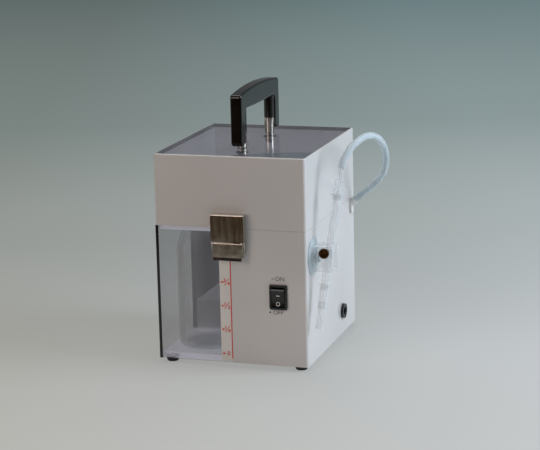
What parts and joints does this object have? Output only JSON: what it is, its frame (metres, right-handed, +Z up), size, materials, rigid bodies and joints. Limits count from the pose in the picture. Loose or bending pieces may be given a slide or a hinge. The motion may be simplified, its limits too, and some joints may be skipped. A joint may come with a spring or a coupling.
{
  "type": "portable vacuum aspirator",
  "caption": "Desktop liquid aspirator: sheet-built case with windowed jar chamber, lift-up lid with arched handle, draw latch, rocker switch and hose-fed handpiece in a wall clamp.",
  "frame": {"origin": "on the bench, under the centre of the whole object with the hose left out", "axes": "+Z up, -Y towards the user (the face with switch and latch), +X towards the handpiece side"},
  "size_m": [0.1702, 0.1636, 0.2277],
  "materials": {
    "white_acrylic": "glossy opaque white sheet",
    "smoked_acrylic": "glossy smoked grey sheet",
    "clear_acrylic": "glossy clear sheet",
    "smoked_top": "glossy smoked grey sheet",
    "black_rubber": "satin",
    "black_plastic": "satin black moulding",
    "white_plastic": "satin white moulding",
    "nickel_steel": "bright plated steel",
    "zinc_steel": "zinc plated",
    "bronze_screw": "dark bronzed",
    "borosilicate": "clear",
    "silicone": "translucent satin silicone",
    "clear_moulding": "clear glossy moulding",
    "cell_wrap": "dark wrap, bright ends",
    "motor_steel": "drawn steel can"
  },
  "bodies": {
    "case": {"base_plate": "white_acrylic", "rubber_feet": "black_rubber", "foot_screws": "zinc_steel", "case_shell": "white_acrylic", "side_window": "smoked_acrylic", "front_window": "smoked_acrylic", "chamber_partition": "white_acrylic", "chamber_divider": "clear_acrylic", "divider_seal": "black_rubber", "deck_plate": "white_acrylic", "battery_box": "white_plastic", "battery_cells": "cell_wrap", "battery_contacts": "zinc_steel", "pump_motor": "motor_steel", "pump_head": "black_plastic", "pump_head_screws": "zinc_steel", "exhaust_muffler": "black_plastic", "pump_saddle": "zinc_steel", "pump_grommets": "black_rubber", "pump_screws": "zinc_steel", "reservoir_jar": "borosilicate", "jar_cap": "white_plastic", "cap_nipples": "white_plastic", "suction_tube": "silicone", "vacuum_tube": "silicone", "hose_port": "white_plastic", "port_nut": "white_plastic", "suction_cup": "silicone", "holder_clamp": "clear_moulding", "holder_screw": "bronze_screw", "power_jack": "black_plastic", "jack_nut": "black_plastic", "switch_body": "black_plastic", "hinge_lower_leaves": "nickel_steel", "hinge_pins": "nickel_steel", "hinge_lower_screws": "zinc_steel", "latch_base": "nickel_steel", "latch_screws": "zinc_steel", "latch_pin": "nickel_steel"},
    "lid": {"lid_shell": "white_acrylic", "lid_window": "smoked_top", "handle_grip": "black_plastic", "handle_posts": "nickel_steel", "handle_washers": "zinc_steel", "handle_nuts": "zinc_steel", "hinge_upper_leaves": "nickel_steel", "hinge_upper_screws": "zinc_steel", "latch_catch": "nickel_steel", "catch_screws": "zinc_steel"},
    "latch_lever": {"latch_lever": "nickel_steel", "latch_link_pin": "nickel_steel"},
    "latch_hook": {"latch_hook": "nickel_steel"},
    "rocker": {"rocker_button": "black_plastic"},
    "battery_cover": {"battery_cover": "white_plastic"},
    "handpiece": {"handpiece_collar": "clear_moulding", "handpiece_barrel": "clear_moulding", "handpiece_sleeve": "clear_moulding", "handpiece_tip": "clear_moulding", "hose": "silicone"}
  },
  "joints": [
    {"name": "lid_hinge", "type": "hinge", "parent": "case", "child": "lid", "pos_m": [-0.01219, 0.0797, 0.118], "axis": [-1, 0, 0], "range_deg": [0, 100]},
    {"name": "latch_lever_pivot", "type": "hinge", "parent": "case", "child": "latch_lever", "pos_m": [-0.01219, -0.0759, 0.1065], "axis": [-1, 0, 0], "range_deg": [0, 90]},
    {"name": "latch_hook_pivot", "type": "hinge", "parent": "latch_lever", "child": "latch_hook", "pos_m": [-0.01219, -0.0756, 0.1005], "axis": [-1, 0, 0], "range_deg": [-76.5, 0]},
    {"name": "power_switch", "type": "hinge", "parent": "case", "child": "rocker", "pos_m": [0.02831, -0.0707, 0.0626], "axis": [-1, 0, 0], "range_deg": [0, 14]},
    {"name": "battery_cover_lift", "type": "slide", "parent": "case", "child": "battery_cover", "axis": [0, 0, 1], "range_m": [0, 0.07]},
    {"name": "handpiece_slide", "type": "slide", "parent": "case", "child": "handpiece", "axis": [1, 0, 0], "range_m": [0, 0.02]}
  ],
  "couplings": [
    {"joint": "latch_hook_pivot", "follows": "latch_lever_pivot", "ratio": -0.85}
  ]
}
